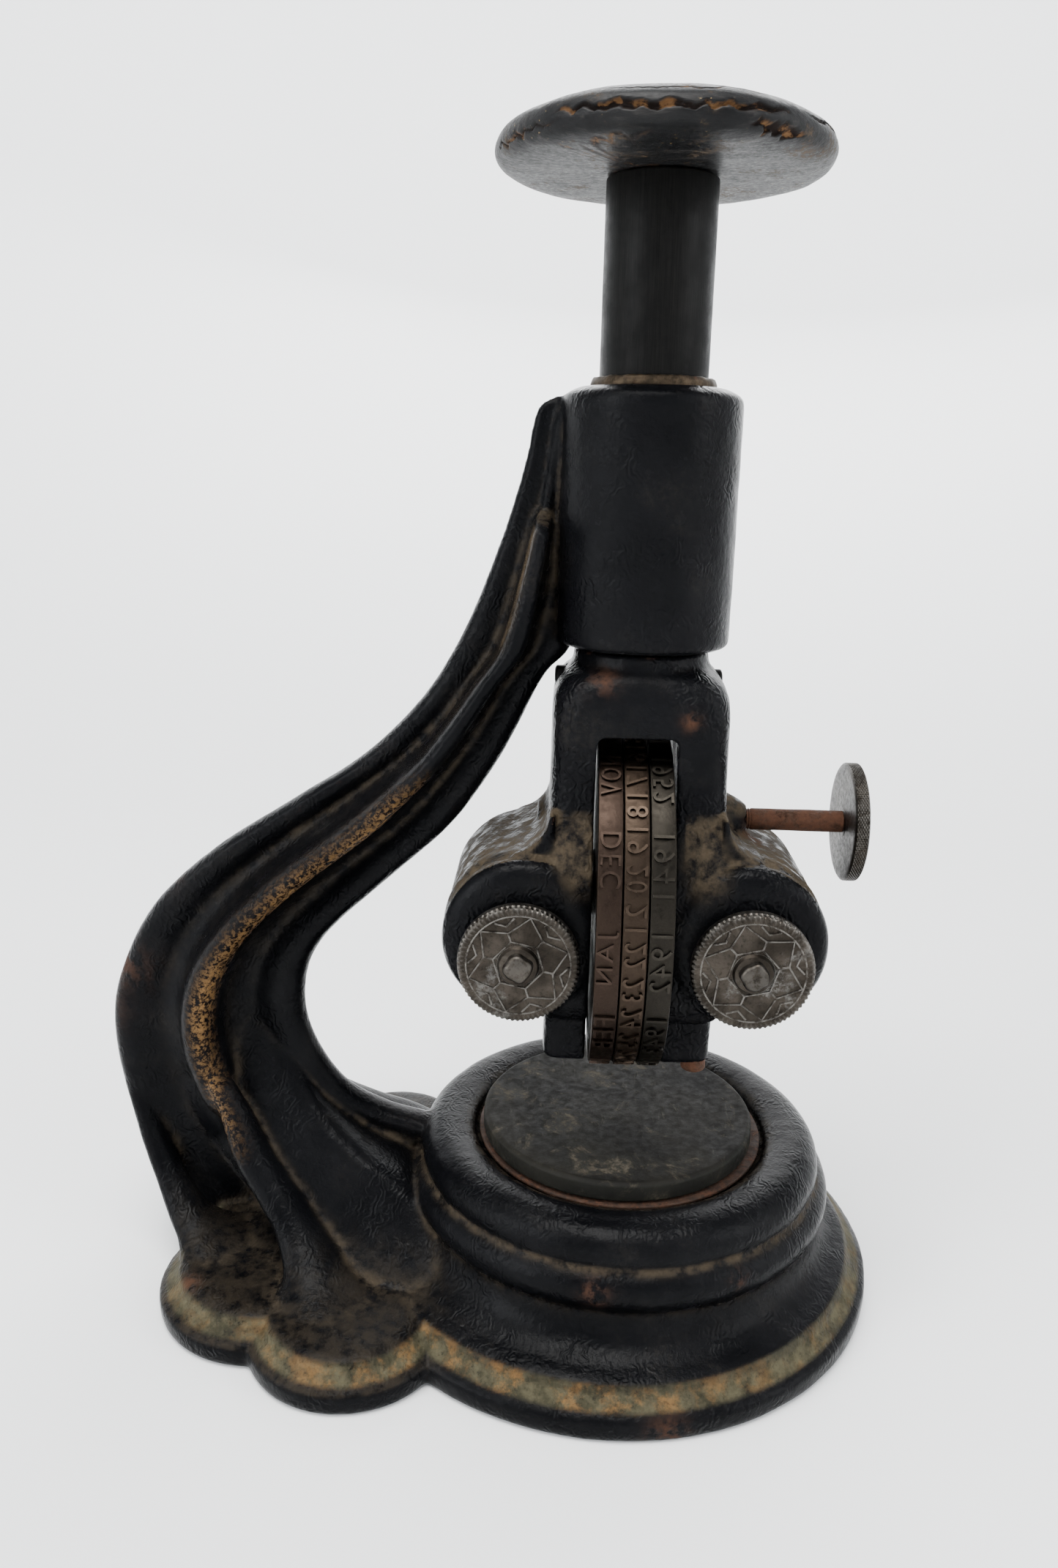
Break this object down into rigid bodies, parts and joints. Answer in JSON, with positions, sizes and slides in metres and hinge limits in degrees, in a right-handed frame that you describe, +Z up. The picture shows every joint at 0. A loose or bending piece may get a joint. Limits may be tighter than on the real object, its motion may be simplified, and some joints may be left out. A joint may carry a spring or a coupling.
{
  "type": "date stamping press",
  "caption": "Cast-iron bench date stamp: a palm plunger in a curved arm presses a head with turning type wheels onto a round rubber pad on a scalloped base.",
  "frame": {"origin": "on the plunger axis at the underside of the base", "axes": "+Z up along the plunger, -X towards the arm, -Y towards the front with the two winding knobs"},
  "size_m": [0.1662, 0.1146, 0.233],
  "materials": {
    "frame_japan": "black japanned casting with worn gold lining",
    "head_japan": "black japanned casting, dusty",
    "dark_steel": "dark oiled steel, scratched",
    "rusty_steel": "rusty brown steel",
    "spring_steel": "bare steel",
    "bush_bronze": "brown bronze",
    "wheel_bronze": "brown copper-bronze type metal",
    "worn_nickel": "worn nickel, knurled",
    "pad_rubber": "dark grey-green rubber",
    "underlay_brass": "rusty brown",
    "ebonised_wood": "black paint, cracked and worn",
    "spool_black": "black"
  },
  "bodies": {
    "frame": {"frame_casting": "frame_japan", "upper_bush": "bush_bronze", "lower_bush": "bush_bronze", "guide_screw": "spring_steel", "return_spring": "spring_steel", "impression_pad": "pad_rubber", "pad_underlay": "underlay_brass"},
    "plunger": {"plunger_shaft": "dark_steel", "palm_knob": "ebonised_wood", "knob_stud": "spring_steel", "die_head": "head_japan", "head_pin": "rusty_steel", "wheel_axle": "rusty_steel", "die_pin": "rusty_steel"},
    "month_wheel": {"month_wheel": "wheel_bronze"},
    "day_wheel": {"day_wheel": "wheel_bronze"},
    "year_wheel": {"year_wheel": "wheel_bronze"},
    "spool_left": {"spool_left": "spool_black", "spindle_left": "dark_steel", "spool_knob_left": "worn_nickel", "spring_washer_left": "dark_steel", "spindle_nut_left": "dark_steel"},
    "spool_right": {"spool_right": "spool_black", "spindle_right": "dark_steel", "spool_knob_right": "worn_nickel", "spring_washer_right": "dark_steel", "spindle_nut_right": "dark_steel"},
    "lock_shoe": {"lock_shoe": "rusty_steel"},
    "lock_screw": {"lock_screw": "rusty_steel", "lock_knob": "worn_nickel"}
  },
  "joints": [
    {"name": "plunger_slide", "type": "slide", "parent": "frame", "child": "plunger", "axis": [0, 0, -1], "range_m": [0, 0.014], "stiffness_N_per_m": 1200, "springref_m": -0.02, "deforming": ["return_spring"]},
    {"name": "month_wheel_turn", "type": "hinge", "parent": "plunger", "child": "month_wheel", "pos_m": [-0.00562, 0, 0.0852], "axis": [1, 0, 0], "continuous": true},
    {"name": "day_wheel_turn", "type": "hinge", "parent": "plunger", "child": "day_wheel", "pos_m": [-0.00077, 0, 0.0852], "axis": [1, 0, 0], "continuous": true},
    {"name": "year_wheel_turn", "type": "hinge", "parent": "plunger", "child": "year_wheel", "pos_m": [0.00408, 0, 0.0852], "axis": [1, 0, 0], "continuous": true},
    {"name": "spool_left_turn", "type": "hinge", "parent": "plunger", "child": "spool_left", "pos_m": [-0.022, 0, 0.0804], "axis": [0, 1, 0], "continuous": true},
    {"name": "spool_right_turn", "type": "hinge", "parent": "plunger", "child": "spool_right", "pos_m": [0.022, 0, 0.0804], "axis": [0, 1, 0], "continuous": true},
    {"name": "lock_travel", "type": "slide", "parent": "plunger", "child": "lock_shoe", "axis": [-1, 0, 0], "range_m": [0, 0.0009]},
    {"name": "lock_turn", "type": "hinge", "parent": "lock_shoe", "child": "lock_screw", "pos_m": [0.03, 0, 0.1022], "axis": [-1, 0, 0], "range_deg": [0, 406]}
  ],
  "couplings": [
    {"joint": "lock_turn", "follows": "lock_travel", "rad_per_m": 7854}
  ]
}
